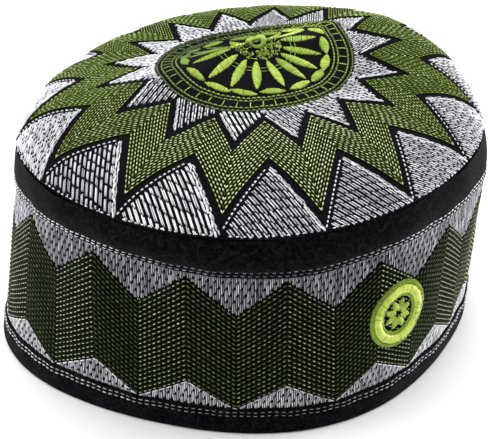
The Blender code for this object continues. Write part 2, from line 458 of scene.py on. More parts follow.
def turnOutward(mesh):
    # faces point out when the volume they close is positive
    mesh.calc_loop_triangles()
    corners = np.zeros(len(mesh.loop_triangles) * 3, np.int32)
    mesh.loop_triangles.foreach_get("vertices", corners)
    places = np.zeros(len(mesh.vertices) * 3, np.float32)
    mesh.vertices.foreach_get("co", places)
    a, b, c = places.reshape(-1, 3).astype(float)[corners.reshape(-1, 3)].transpose(1, 0, 2)
    if (a * np.cross(b, c)).sum() < 0:
        mesh.flip_normals()


columnsRound = 360
turns = np.arange(columnsRound) * 2 * math.pi / columnsRound


def ringRows(profile, points=sidePoints):
    # profile is a closed outline of (outward from the trims' faces, height) pairs, where outward
    # may be a function of the turn and the height
    return np.stack([points(turns, np.full(columnsRound, height),
                            outward(turns, height) if callable(outward) else outward)
                     for outward, height in profile])


def roundedEnds(outer, inner, bottom, top, outerRows, innerRows):
    # outline of a flat strip of cloth that stands on edge, with rounded edges
    radius = (outer - inner) / 2
    middle = (outer + inner) / 2
    bends = np.radians([0, 30, 60, 90, 120, 150, 180])
    outline = [(outer, height) for height in np.linspace(bottom + radius, top - radius, outerRows)]
    outline += [(middle + radius * math.cos(bend), top - radius + radius * math.sin(bend))
                for bend in bends[1:-1]]
    outline += [(inner, height) for height in np.linspace(top - radius, bottom + radius, innerRows)]
    outline += [(middle - radius * math.cos(bend), bottom + radius - radius * math.sin(bend))
                for bend in bends[1:-1]]
    return outline


def makeSideWall():
    outline = roundedEnds(-wallSeat, -wallSeat - cloth["thickness"], wallSeat,
                          seam["height"] - cloth["wallHidden"], 36, 14)
    mesh = gridMesh("sideWall", ringRows(outline), True)
    return addPiece("sideWall", mesh, finishes["wallCloth"])


def makeRimBinding():
    innerLeg, tuck = -2 * wallSeat - cloth["thickness"], cloth["bindingTuck"]
    rounding, trim, leg = cloth["bindingRound"], cloth["trim"], cloth["bindingLeg"]
    bends = np.radians([15, 30, 45, 60, 75])
    outline = [(-tuck - 0.0002, leg)]
    outline += [(bindingBulge, float(height)) for height in np.linspace(leg - tuck, rounding, 24)]
    outline += [(-rounding * (1 - math.cos(bend)), rounding * (1 - math.sin(bend))) for bend in bends]
    outline += [(-rounding, 0.0), (innerLeg + rounding, 0.0)]
    outline += [(innerLeg + rounding * (1 - math.sin(bend)), rounding * (1 - math.cos(bend)))
                for bend in bends]
    outline += [(innerLeg, height) for height in np.linspace(rounding, leg - 2 * tuck, 6)]
    outline += [(innerLeg + tuck, leg), (innerLeg + trim, leg), (innerLeg + trim, trim),
                (-trim, trim), (-trim, leg)]
    mesh = gridMesh("rimBinding", ringRows(outline), True)
    return addPiece("rimBinding", mesh, finishes["cotton"])


def makeCrownBand():
    hem, roof = wallTop["height"] - cloth["bandHem"], seam["height"] - cloth["bandRoof"]
    trim = cloth["trim"]
    outline = [(bandBulge, float(height)) for height in np.linspace(roof, hem, 48)]
    outline += [(-trim * 0.5, hem - 0.0002), (-trim, hem)]
    outline += [(-trim, float(height)) for height in np.linspace(hem, roof - cloth["bandSlope"], 8)[1:]]
    outline += [(-trim * 0.5, roof - cloth["bandSlope"] / 2)]
    mesh = gridMesh("crownBand", ringRows(outline, bandPoints), True)
    return addPiece("crownBand", mesh, finishes["cotton"])


def makeCrownTop():
    def rings(reaches):
        return reaches[:, None, None] * seam["radius"] * circleOf(turns)

    outerSpots = rings(np.concatenate([np.linspace(0.012, 0.90, 52), np.linspace(0.90, 1.0, 15)[1:]]))
    innerSpots = rings(np.concatenate([np.linspace(1.0, 0.90, 6), np.linspace(0.90, 0.012, 22)[1:]]))
    outer = crownFace(outerSpots)
    inner = crownFace(innerSpots) - outOf(crownFace, innerSpots) * cloth["thickness"]
    edge = outer[-1:] + (inner[:1] - outer[-1:]) * np.array((0.12, 0.5, 0.88))[:, None, None]
    edge[..., 2] -= np.array((0.0002, 0.0003, 0.0002))[:, None]
    mesh = gridMesh("crownTop", np.concatenate([outer, edge, inner]), False)
    return addPiece("crownTop", mesh, finishes["crownCloth"])


crownTop, crownBand = makeCrownTop(), makeCrownBand()
sideWall, rimBinding = makeSideWall(), makeRimBinding()
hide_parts("crown_top")
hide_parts("crown_band")
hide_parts("side_wall")
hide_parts("rim_binding")
print("cloth shells ready")


# Threads. A pile holds the stitches of one piece: where each lies, which way it runs, its size
# and how light it is. Geometry Nodes then lays one thread on each.

threadDip = 0.25            # how far below a thread's middle its ends lie, as a share of its height


def makeThread(name, sides, stations):
    # one stitch, a unit long, wide and high, that arches out of the cloth and dives back into it
    points, uv = [(-0.5, 0.0, -threadDip)], []
    bends = np.radians(90 + np.arange(sides) * 360 / sides)
    for along, thick in stations:
        arch = (1 - (2 * along) ** 4) * 0.5
        points += [(along, 0.5 * thick * math.cos(bend),
                    arch - threadDip + (0.5 if math.sin(bend) > 0 else 0.3) * thick * math.sin(bend))
                   for bend in bends]
    points.append((0.5, 0.0, -threadDip))
    faces, last = [], len(points) - 1
    lengths = [0.0] + [along + 0.5 for along, _ in stations] + [1.0]
    for side in range(sides):
        beside = (side + 1) % sides
        left, middle, right = side / sides, (side + 0.5) / sides, (side + 1) / sides
        faces.append((0, 1 + beside, 1 + side))
        uv += [(0.0, middle), (lengths[1], right), (lengths[1], left)]
        for station in range(1, len(stations)):
            low, high = 1 + (station - 1) * sides, 1 + station * sides
            faces.append((low + side, low + beside, high + beside, high + side))
            uv += [(lengths[station], left), (lengths[station], right),
                   (lengths[station + 1], right), (lengths[station + 1], left)]
        low = 1 + (len(stations) - 1) * sides
        faces.append((low + side, low + beside, last))
        uv += [(lengths[-2], left), (lengths[-2], right), (1.0, middle)]
    mesh = bpy.data.meshes.new(name)
    mesh.from_pydata(points, [], faces)
    mesh.uv_layers.new(name="UVMap").data.foreach_set("uv", np.array(uv, np.float32).ravel())
    mesh.shade_smooth()
    turnOutward(mesh)
    return addObject(name, mesh)


threadShape = makeThread("threadShape", 4, [(-0.36, 0.9), (0.0, 1.0), (0.36, 0.9)])
strandShape = makeThread("strandShape", 4, [(-0.45, 0.72), (-0.33, 1.0), (0.33, 1.0), (0.45, 0.72)])


def buildLayThreads():
    tree, given, made = nodeGroup(
        "layThreads", "GeometryNodeTree",
        [("Geometry", "Geometry", None), ("Stitch Shape", "Object", None), ("Finish", "Material", None),
         ("Thread Width", "Float", 1.0), ("Unevenness", "Float", 0.12), ("Seed", "Int", 1)],
        [("Geometry", "Geometry")])

    def stored(name):
        node = addNode(tree, "GeometryNodeInputNamedAttribute", {"Name": name}, data_type="FLOAT_VECTOR")
        return node.outputs["Attribute"]

    axes = addNode(tree, "FunctionNodeAxesToRotation",
                   {"Primary Axis": stored("along"), "Secondary Axis": stored("outward")},
                   primary_axis="X", secondary_axis="Z")
    vary = addNode(tree, "FunctionNodeRandomValue", data_type="FLOAT")
    width, unevenness = given.outputs["Thread Width"], given.outputs["Unevenness"]
    for name, value in (("Min", mathNode(tree, "SUBTRACT", width, unevenness)),
                        ("Max", mathNode(tree, "ADD", width, unevenness)),
                        ("Seed", given.outputs["Seed"])):
        tree.links.new(value, next(socket for socket in vary.inputs
                                   if socket.enabled and socket.name == name))
    varied = next(socket for socket in vary.outputs if socket.enabled)
    stretch = addNode(tree, "ShaderNodeCombineXYZ", {"X": 1.0, "Y": varied, "Z": varied})
    size = addNode(tree, "ShaderNodeVectorMath", {0: stored("size"), 1: stretch.outputs[0]},
                   operation="MULTIPLY")
    shape = addNode(tree, "GeometryNodeObjectInfo", {"Object": given.outputs["Stitch Shape"]})
    lay = addNode(tree, "GeometryNodeInstanceOnPoints",
                  {"Points": given.outputs["Geometry"], "Instance": shape.outputs["Geometry"],
                   "Rotation": axes.outputs["Rotation"], "Scale": size.outputs[0]})
    threads = lay.outputs["Instances"]
    for name in ("along", "outward", "size"):
        remove = addNode(tree, "GeometryNodeRemoveAttribute", {"Geometry": threads, "Name": name})
        threads = remove.outputs["Geometry"]
    real = addNode(tree, "GeometryNodeRealizeInstances", {"Geometry": threads})
    paint = addNode(tree, "GeometryNodeSetMaterial",
                    {"Geometry": real.outputs["Geometry"], "Material": given.outputs["Finish"]})
    fill(tree, made, {"Geometry": paint.outputs["Geometry"]})
    return tree


layThreads = buildLayThreads()


def addStitches(pile, surface, spots, heading, size, shade, mottle=0.0, lift=0.0):
    # size is length, width and height, the same for all or one row each; heading is on the
    # pattern; mottle is how much the shade differs from stitch to stitch
    spots = np.atleast_2d(spots)
    count = len(spots)
    if mottle:
        shade = shade + random.normal(0, mottle, count)
    if count == 0:
        return
    heading = unit(np.broadcast_to(np.atleast_2d(heading), spots.shape)) * 0.0001
    outward = outOf(surface, spots)
    along = unit(surface(spots + heading) - surface(spots - heading))
    size = np.broadcast_to(np.asarray(size, float), (count, 3))
    rise = size[:, 2] * threadDip + lift
    pile.append((surface(spots) + outward * rise[:, None], along, outward, size,
                 np.broadcast_to(shade, count)))


def alongPath(surface, path, pitch, start=0.5, wander=0.0):
    # evenly spaced spots along a path of the pattern, with their headings
    points = surface(path)
    run = np.concatenate(([0.0], np.cumsum(np.linalg.norm(np.diff(points, axis=0), axis=1))))
    count = max(1, round(run[-1] / pitch))
    places = (np.arange(count) + start + wander * random.uniform(-1, 1, count)) * run[-1] / count

    def at(where):
        return rowsOf(*(np.interp(where, run, path[:, axis]) for axis in (0, 1)))

    step = 0.0002
    return at(places), at(places + step) - at(places - step)


def straight(start, end, pieces=16):
    share = np.linspace(0, 1, pieces + 1)[:, None]
    return np.asarray(start) * (1 - share) + np.asarray(end) * share


def polar(reach, degrees):
    return reach * seam["radius"] * circleOf(np.radians(degrees))


def storeOnPoints(mesh, label, values):
    # one number or one direction for each point of the mesh
    kind, field = ("FLOAT", "value") if values.ndim == 1 else ("FLOAT_VECTOR", "vector")
    mesh.attributes.new(label, kind, "POINT").data.foreach_set(field, values.astype(np.float32).ravel())


def layPile(name, pile, finish, shape=threadShape, unevenness=0.12):
    middle, along, outward, size, shade = (np.concatenate(part) for part in zip(*pile))
    mesh = bpy.data.meshes.new(name + "Points")
    mesh.vertices.add(len(middle))
    mesh.vertices.foreach_set("co", middle.astype(np.float32).ravel())
    for label, values in (("along", along), ("outward", outward), ("size", size),
                          ("shade", np.clip(shade, 0, 1))):
        storeOnPoints(mesh, label, values)
    carrier = addObject(name + "Points", mesh)
    modifier = carrier.modifiers.new("layThreads", "NODES")
    modifier.node_group = layThreads
    inputs = {"Stitch Shape": shape, "Finish": finish, "Thread Width": 1.0, "Unevenness": unevenness,
              "Seed": len(name)}
    for item in layThreads.interface.items_tree:
        if item.in_out == "INPUT" and item.name in inputs:
            modifier[item.identifier] = inputs[item.name]
    depsgraph = bpy.context.evaluated_depsgraph_get()
    made = bpy.data.meshes.new_from_object(carrier.evaluated_get(depsgraph),
                                           preserve_all_data_layers=True, depsgraph=depsgraph)
    carrier.modifiers.clear()
    bpy.data.objects.remove(carrier)
    bpy.data.meshes.remove(mesh)
    triangles = sum(len(face.vertices) - 2 for face in made.polygons)
    print(name, len(middle), "stitches,", triangles, "triangles")
    return addPiece(name, made, None)


# Medallion's outline, needed by all that is sewn round it. It was guided by hand, so its rings
# wander a little from round and its petals from even steps.

medallion = {
    "radius": 0.396 * seam["radius"],
    "drift": [(1, 0.0177, -129.8), (2, 0.0196, 27.7), (3, 0.0194, 7.6), (4, 0.0161, -28.4)],
    "corner": (43.0, 0.13, 12.0),                    # angle, height and width of its one corner
    "satinPitch": 0.00030, "satinWidth": 0.00044, "lift": 0.0001,
    # painted shade on one side of the medallion: its angle, and how much darker
    "shadedSide": 138.0, "shadedBy": 0.42,
    # share of the radius, dash pitch, dash length, width, height, shade
    "lines": [(0.995, 0.0019, 0.00115, 0.00030, 0.0005, 0.38),
              (0.948, 0.0019, 0.00130, 0.00032, 0.0005, 0.58),
              (0.842, 0.0019, 0.00130, 0.00032, 0.0005, 0.54),
              (0.800, 0.0019, 0.00125, 0.00036, 0.0005, 0.68)],
    "lineBed": (0.0034, 0.00090, 0.0004), "bedShade": 0.02,
    "cells": 46, "cellEdges": (0.850, 0.940), "cellThread": (0.00034, 0.0005), "cellShade": 0.50,
    "petals": 16, "firstPetal": -88.0, "petalDrift": [(1, 2.0, -146), (2, 1.4, -22), (4, 2.2, -44.5)],
    "petalEnds": (0.265, 0.668), "petalShade": 0.57,
    "petal": {"width": 0.0041, "bend": 0.85, "fullness": 0.75, "lean": math.radians(24),
              "height": 0.0008},
    "leafCentre": 0.714, "leafLength": 0.0096,
    "leaf": {"width": 0.0040, "bend": 1.0, "fullness": 0.7, "lean": math.radians(-10),
             "height": 0.0007},
    # the fine threads that join the petals
    "linkRings": (0.355, 0.40), "linkAngles": (4.5, 18.0), "link": (0.0030, 0.00034, 0.0005),
    "linkShade": 0.35,
    "loops": 340, "loopsReach": (0.10, 0.245), "loopLength": (0.0010, 0.0016), "loopWidth": 0.00031,
    "loopHeight": (0.0005, 0.0010), "loopShade": (0.05, 0.85),
    # its height and shade halfway round, and how much more at the back
    "eyelet": (0.045, 0.100), "eyeletWidth": 0.00050, "eyeletHeight": (0.0015, 0.0012),
    "eyeletShade": (0.42, 0.16),
}


def ringSpot(share, degrees):
    angle = np.radians(degrees)
    corner, height, width = medallion["corner"]
    fromCorner = 2 * np.sin((angle - math.radians(corner)) / 2) / math.radians(width)
    reach = share * medallion["radius"] * (1 + waveSum(medallion["drift"], angle)
                                           + height * np.exp(-fromCorner ** 2))
    return circleOf(angle) * reach[..., None]


def clearOfMedallion(spots):
    angle = np.degrees(np.arctan2(spots[..., 1], spots[..., 0]))
    return np.hypot(spots[..., 0], spots[..., 1]) > np.linalg.norm(ringSpot(1.010, angle), axis=-1)


# Crown: a sixteen-pointed star round the medallion

star = {
    "points": 16, "firstPoint": -143.05,
    "outerValley": 0.734, "innerTip": 0.585, "innerValley": 0.430,
    "rows": 12, "rowTip": (0.925, 0.667), "rowValley": (0.681, 0.477), "edge": 0.42,
    "dashPitch": 0.00215, "starts": (0.30, 0.80), "dash": (0.00150, 0.00046, 0.00042),
    "proud": 0.0003, "sunk": 0.0002, "legSamples": 12,
    # painted sheen: the dashes are painted paler at the front, and the ground lighter away from it
    "shade": (0.82, 0.58), "paintedGroundSheen": 1.6,          # at the front, and away from it
}
pointStep = 360 / star["points"]


def starLegs(tipReach, valleyReach):
    # the legs of one zigzag round the crown, each from a point of the star to a valley
    for point in range(star["points"]):
        degrees = star["firstPoint"] + point * pointStep
        for side in (-1, 1):
            yield polar(tipReach, degrees), polar(valleyReach, degrees + side * pointStep / 2)


def rowReaches(row):
    share = row / (star["rows"] - 1)
    return [low + (high - low) * share for low, high in (star["rowTip"], star["rowValley"])]


def awayFromFront(spots):
    # 0 where the crown faces the front, 1 at its sides and back
    return np.clip((spots[..., 1] / np.hypot(spots[..., 0], spots[..., 1]) + 0.95) / 0.7, 0, 1)


def sewStar():
    pile = []
    for row in range(star["rows"]):
        for start, end in starLegs(*rowReaches(row)):
            spots, heading = alongPath(crownFace, straight(start, end), star["dashPitch"],
                                       star["starts"][row % 2], 0.04)
            # painted sheen: each dash is painted paler the nearer it lies to the front
            shade = np.interp(awayFromFront(spots), (0, 1), star["shade"])
            addStitches(pile, crownFace, spots, heading, star["dash"], shade, 0.09, star["proud"])
    return layPile("starThreads", pile, finishes["star"])


def zigzagRing(tipReach, valleyReach):
    path = []
    for point in range(star["points"]):
        degrees = star["firstPoint"] + point * pointStep
        tip, valley = polar(tipReach, degrees), polar(valleyReach, degrees + pointStep / 2)
        nextTip = polar(tipReach, degrees + pointStep)
        path += [straight(*leg, star["legSamples"])[:-1] for leg in ((tip, valley), (valley, nextTip))]
    return np.concatenate(path)


def makeStarGround():
    # the olive ground of the star, a little proud of the black cloth
    edge, last = star["edge"], star["rows"] - 1
    top = [-edge, *np.linspace(0, last, last * 2 + 1), last + edge]
    under = [last + edge + 0.1, *np.linspace(last, 0, 8), -edge - 0.1]
    marks = np.array(top + under)
    rings, away = [], []
    for mark, lift in zip(marks, [star["proud"]] * len(top) + [-star["sunk"]] * len(under)):
        spots = zigzagRing(*rowReaches(mark))
        rings.append(crownFace(spots) + outOf(crownFace, spots) * lift)
        away.append(awayFromFront(spots))
    mesh = gridMesh("starGround", np.stack(rings), True, marks + 0.5)
    # painted sheen: the ground is painted lighter away from the front
    storeOnPoints(mesh, "lift", star["paintedGroundSheen"] * np.concatenate(away))
    return addPiece("starGround", mesh, finishes["starGround"])


silver = {
    "strandHeight": 0.0006, "shortestStrand": 0.0006, "shortestRow": 0.0008,
    "blockWander": 0.00035, "endWander": 0.00015, "sideWander": 0.00005,
    # reach of the crown's seam for the rows, and for the line of dashes along it
    "creaseReach": 0.9985, "creaseLine": 0.9955, "creasePitch": 0.0024,
    "creaseDash": (0.0012, 0.00050, 0.0005), "creaseShade": 0.78,
    "dashPitch": 0.0019, "dash": (0.00120, 0.00062, 0.0006), "dashShade": 0.86, "dashReach": 0.985,
    # the ragged lines of a side: width, shift and shade of each, and what both have in common
    "edges": [(0.00080, -0.0001, 0.84), (0.00058, 0.00055, 0.66)], "edgePitch": 0.0015,
    "edgeLength": (0.0019, 0.0026), "edgeHeight": (0.0005, 0.0008),
    # how far the triangles' corners keep from the star, in reach and in degrees
    "outerApex": 0.012, "outerReach": 0.998, "outerLeft": 0.7, "outerRight": 0.5,
    "innerReach": 0.004, "innerTurn": 0.9,
    # the weave of each point's outer and inner triangle; the others are close
    "outer": {0: "brick", 1: "long", 2: "open", 3: "open"},
    "inner": {0: "open", 1: "open", 2: "long", 3: "open", 4: "open"},
}
# Each row of a weave is two strands side by side, cut into blocks. Aside is how far each strand
# lies from the row's middle, and ahead how far along it one strand is from the other.
weaves = {
    "open": {"pitch": 0.0019, "block": 0.0036, "gap": 0.00014, "aside": 0.00039, "ahead": 0.00060,
             "width": 0.00050, "shade": 0.75},
    "long": {"pitch": 0.0016, "block": 0.0054, "gap": 0.00026, "aside": 0.00021, "ahead": 0.00030,
             "width": 0.00047, "shade": 0.86},
    "brick": {"pitch": 0.0016, "block": 0.0042, "gap": 0.00052, "aside": 0.00021, "ahead": 0.00012,
              "width": 0.00044, "shade": 0.75},
    "close": {"pitch": 0.0017, "block": 0.0038, "gap": 0.00026, "aside": 0.00042, "ahead": 0.00095,
              "width": 0.00056, "shade": 0.80},
}


def blockRow(pile, start, direction, length, shift, weave):
    sideways = sidewaysOf(direction)
    edges = np.arange(-shift * weave["block"], length + weave["block"], weave["block"])
    edges = edges + random.normal(0, silver["blockWander"], len(edges))
    for side in (-1, 1):
        ends = edges + side * weave["ahead"] + random.normal(0, silver["endWander"], len(edges))
        ends = np.clip(ends, 0, length)
        low, high = ends[:-1], ends[1:] - weave["gap"]
        keep = high - low > silver["shortestStrand"]
        low, high = low[keep][:, None], high[keep][:, None]
        wander = random.normal(0, silver["sideWander"], (len(low), 2))
        aside = sideways * side * weave["aside"] + wander
        first, last = start + direction * low + aside, start + direction * high + aside
        lengths = np.linalg.norm(crownFace(last) - crownFace(first), axis=1)
        addStitches(pile, crownFace, (first + last) / 2, direction,
                    rowsOf(lengths, weave["width"], silver["strandHeight"]), weave["shade"], 0.12)


def fillTriangle(pile, apex, along, other, isFree, weave):
    # rows run parallel to the side from the apex to "along" and are laid towards "other"
    direction = unit(along - apex)
    width = np.dot(other - apex, sidewaysOf(direction))
    rowCount = int(abs(width) / weave["pitch"])
    distances = np.arange(0.0, 0.06, 0.0002)
    for row in range(1, rowCount + 1):
        start = apex + (other - apex) * (row - 0.25) / rowCount
        blocked = ~isFree(start + direction * distances[:, None])
        length = distances[np.argmax(blocked)] if blocked.any() else distances[-1]
        if length > silver["shortestRow"]:
            shift = (row * 0.5 + random.uniform(-0.14, 0.14)) % 1
            blockRow(pile, start, direction, length, shift, weave)


def roughEdge(pile, path, scale):
    # two ragged lines of thread along a side, the outer one thicker
    for width, shift, shade in silver["edges"]:
        spots, heading = alongPath(crownFace, path, silver["edgePitch"], 0.3, 0.2)
        heading, count = unit(heading), len(spots)
        lean = heading + sidewaysOf(heading) * random.normal(0, 0.17, (count, 1))
        spots = spots + sidewaysOf(heading) * scale * (shift + random.normal(0, 0.00014, (count, 1)))
        size = rowsOf(random.uniform(*silver["edgeLength"], count),
                      scale * random.uniform(0.75, 1.1, count) * width,
                      random.uniform(*silver["edgeHeight"], count))
        addStitches(pile, crownFace, spots, lean, size, shade, 0.11, 0.0001)


def dashRow(pile, start, end, shift):
    path = straight(start, end) + sidewaysOf(unit(end - start)) * shift
    spots, heading = alongPath(crownFace, path, silver["dashPitch"], 0.5, 0.05)
    keep = np.hypot(spots[:, 0], spots[:, 1]) < silver["dashReach"] * seam["radius"]
    addStitches(pile, crownFace, spots[keep], heading[keep], silver["dash"], silver["dashShade"], 0.07)


def aboveCrease(spots):
    return np.hypot(spots[..., 0], spots[..., 1]) < silver["creaseReach"] * seam["radius"]


def sewCrownSilver():
    pile, edging = [], []
    for point in range(star["points"]):
        degrees = star["firstPoint"] + point * pointStep
        # outer triangle, between this point of the star and the next
        apex = polar(star["outerValley"] + silver["outerApex"], degrees + pointStep / 2)
        left = polar(silver["outerReach"], degrees + silver["outerLeft"])
        right = polar(silver["outerReach"], degrees + pointStep - silver["outerRight"])
        fillTriangle(pile, apex, right, left, aboveCrease, weaves[silver["outer"].get(point, "close")])
        roughEdge(edging, straight(apex, right), 1.0)
        dashRow(edging, apex + (left - apex) * 0.02, left, -0.0012)
        crease = polar(silver["creaseLine"], np.linspace(degrees + 1.2, degrees + pointStep - 1.0, 17))
        spots, heading = alongPath(crownFace, crease, silver["creasePitch"], 0.5, 0.15)
        addStitches(edging, crownFace, spots, heading, silver["creaseDash"], silver["creaseShade"], 0.12)
        # inner triangle, between the medallion and this point
        apex = polar(star["innerTip"], degrees)
        reach, turn = star["innerValley"] + silver["innerReach"], pointStep / 2 - silver["innerTurn"]
        left, right = (polar(reach, degrees + side * turn) for side in (-1, 1))
        fillTriangle(pile, apex, left, apex + (right - apex) * 1.10, clearOfMedallion,
                     weaves[silver["inner"].get(point, "close")])
        roughEdge(edging, straight(apex, left), 0.72)
    return (layPile("crownSilver", pile, finishes["silver"], strandShape),
            layPile("crownSilverEdges", edging, finishes["silver"]))


starGround = makeStarGround()
starThreads = sewStar()
crownSilver, crownSilverEdges = sewCrownSilver()
print("crown embroidery ready")


# Side: a zigzag band of olive rows on silver

zigzag = {
    # height of its peaks and of its valleys, for each edge
    "peaks": 16, "firstPeak": -151.1, "upper": (0.0620, 0.0485), "lower": (0.0197, 0.0102),
    # nap is the painted light of the legs, set by which way their thread runs
    "rows": 21, "dashesInLeg": 10, "dash": (0.00134, 0.00042, 0.00050), "shade": 0.58, "napAndPaintedLight": 0.30,
    "edge": 0.0004, "proud": 0.0003, "sunk": 0.0002, "legSamples": 12,
    # the painted light at the side: how narrow, and by how much it lightens the thread and the ground
    "litNarrow": 24, "litThread": 0.30, "litGround": 7.0,
}
silverWall = {
    "columnPitch": 0.00133, "stitch": 0.0051, "shortest": 0.0006, "strand": (0.00041, 0.00055),
    # for the left and the right strand of a column
    "gap": (0.00018, 0.00095), "upperShade": (0.58, 0.40), "lowerShade": (0.80, 0.68),
    "spread": 0.00032, "wander": 0.00005, "hem": 0.0621, "foot": 0.0103,
    # painted light: the looped tops are painted lighter at the sides than at the front
    "arch": (0.00048, 0.0006), "archShade": (1.0, 0.66),      # at the sides, at the front
}
peakStep = 360 / zigzag["peaks"]


def sideLength(degrees):
    return np.radians(degrees) * seam["radius"]


def zigzagHeight(degrees, edge):
    peak, valley = zigzag[edge]
    place = np.abs(((np.asarray(degrees) - zigzag["firstPeak"]) / peakStep + 0.5) % 1.0 - 0.5) * 2
    return peak + (valley - peak) * place


def litSideAt(degrees):
    # painted light: the zigzag is painted lighter in a narrow stretch at the hat's side, at +X
    return np.clip(np.cos(np.radians(degrees)), 0, 1) ** zigzag["litNarrow"]


def sewSide():
    piles = {-1: [], 1: []}
    along = (np.arange(zigzag["dashesInLeg"]) + 0.5) / zigzag["dashesInLeg"]
    for peak in range(zigzag["peaks"]):
        degrees = zigzag["firstPeak"] + peak * peakStep
        for side in (-1, 1):
            place = sideLength(degrees + side * peakStep / 2 * along)
            # painted light: thread that rises towards the front or the back is painted lighter than
            # thread that falls, and lighter still in the stretch at the side
            middle = degrees + side * peakStep / 4
            napAndPaintedLight = (zigzag["napAndPaintedLight"] * side * math.cos(math.radians(middle))
                   + zigzag["litThread"] * litSideAt(middle))
            for row in range(zigzag["rows"]):
                share = (row + 0.5) / zigzag["rows"]
                top, bottom = (high + (low - high) * share
                               for high, low in zip(zigzag["upper"], zigzag["lower"]))
                spots = rowsOf(place, top + (bottom - top) * along)
                spots = spots + random.normal(0, 0.00006, spots.shape)
                heading = (sideLength(side * peakStep / 2), bottom - top)
                addStitches(piles[side], wallFace, spots, heading, zigzag["dash"],
                            zigzag["shade"] + napAndPaintedLight, 0.08, zigzag["proud"])
    return [layPile(name, piles[side], finishes["side"])
            for side, name in ((-1, "sideThreadsLeft"), (1, "sideThreadsRight"))]


def makeSideGround():
    legs, samples = zigzag["peaks"] * 2, zigzag["legSamples"]
    degrees = zigzag["firstPeak"] + np.arange(legs * samples) * peakStep / 2 / samples
    top = zigzagHeight(degrees, "upper") - zigzag["edge"]
    bottom = zigzagHeight(degrees, "lower") + zigzag["edge"]
    marks = np.concatenate([[-0.05], np.arange(zigzag["rows"] + 1), [zigzag["rows"] + 0.05]])
    rings = []
    for index, mark in enumerate(marks):
        spots = rowsOf(sideLength(degrees), top + (bottom - top) * mark / zigzag["rows"])
        lift = -zigzag["sunk"] if index in (0, len(marks) - 1) else zigzag["proud"]
        rings.append(wallFace(spots) + outOf(wallFace, spots) * lift)
    mesh = gridMesh("sideGround", np.stack(rings), True, marks)
    # painted light: the ground is painted lighter in that stretch at the side
    storeOnPoints(mesh, "lift", np.tile(zigzag["litGround"] * litSideAt(degrees), len(marks)))
    return addPiece("sideGround", mesh, finishes["sideGround"])


def towardsFront(turn):
    return np.clip(-np.sin(turn), 0, 1) ** 6


def sewWallSilver():
    pile = []
    columns = 2 * round(math.pi * seam["radius"] / silverWall["columnPitch"])
    for column in range(columns):
        degrees = column * 360 / columns
        hem = silverWall["hem"] + hemRise(math.radians(degrees))
        first = hem + silverWall["stitch"] * (0.5 if column % 2 else 0.0)
        ends = np.arange(first, 0, -silverWall["stitch"])
        above, below = zigzagHeight(degrees, "upper") + 0.0001, zigzagHeight(degrees, "lower") - 0.0001
        for low, high, shades in ((above, hem, silverWall["upperShade"]),
                                  (silverWall["foot"], below, silverWall["lowerShade"])):
            for side, gap, shade in zip((-1, 1), silverWall["gap"], shades):
                tops, bottoms = np.minimum(ends[:-1], high), np.maximum(ends[1:] + gap, low)
                keep = tops - bottoms > silverWall["shortest"]
                tops, bottoms, count = tops[keep], bottoms[keep], keep.sum()
                place = (sideLength(degrees) + side * silverWall["spread"]
                         + random.normal(0, silverWall["wander"], count))
                heading = rowsOf(random.normal(0, 0.03, count), 1.0)
                addStitches(pile, wallFace, rowsOf(place, (tops + bottoms) / 2), heading,
                            rowsOf(tops - bottoms, *silverWall["strand"]), shade, 0.15)
    # looped tops that close each pair of columns
    pair = np.stack([np.arange(0, columns, 2), np.arange(1, columns, 2)]) * 360 / columns
    for heights in (silverWall["hem"] - 0.0001 + hemRise(np.radians(pair)),
                    zigzagHeight(pair, "lower") - 0.0002):
        ends = rowsOf(sideLength(pair), heights)
        length = np.linalg.norm(ends[1] - ends[0], axis=1) * 1.7
        # painted light: lighter at the sides, darker at the front
        shade = np.interp(towardsFront(np.radians(pair).mean(axis=0)), (0, 1), silverWall["archShade"])
        addStitches(pile, wallFace, ends.mean(axis=0), ends[1] - ends[0],
                    rowsOf(length, *silverWall["arch"]), shade, 0.08, 0.0001)
    return layPile("wallSilver", pile, finishes["silver"], strandShape)


sideGround = makeSideGround()
sideThreads = sewSide()
wallSilver = sewWallSilver()
print("side embroidery ready")


# Medallion at the crown's centre

def sewSatin(pile, surface, start, end, petal, shade, lift):
    # threads laid side by side across a petal, from one end of its middle line to the other
    total = np.linalg.norm(end - start)
    along = (end - start) / total
    places = np.arange(0.5, total / medallion["satinPitch"]) * medallion["satinPitch"]
    half = petal["width"] / 2 * np.sin(math.pi * (places / total) ** petal["bend"]) ** petal["fullness"]
    keep = half > 0.0002
    places, half, count = places[keep], half[keep], keep.sum()
    lean = petal["lean"]
    heading = sidewaysOf(along) * math.cos(lean) + along * math.sin(lean)
    length = 2 * half / math.cos(lean) * random.uniform(0.90, 1.08, count)
    arch = petal["height"] * (0.55 + 0.45 * half / half.max())
    spots = start + along * places[:, None] + random.normal(0, 0.00008, (count, 2))
    addStitches(pile, surface, spots, heading, rowsOf(length, medallion["satinWidth"], arch),
                shade, 0.06, lift)


def shadedAt(degrees):
    # painted shade: the thread is painted darker on one side of the medallion
    return medallion["shadedBy"] * np.clip(np.cos(np.radians(degrees - medallion["shadedSide"])), 0, 1)


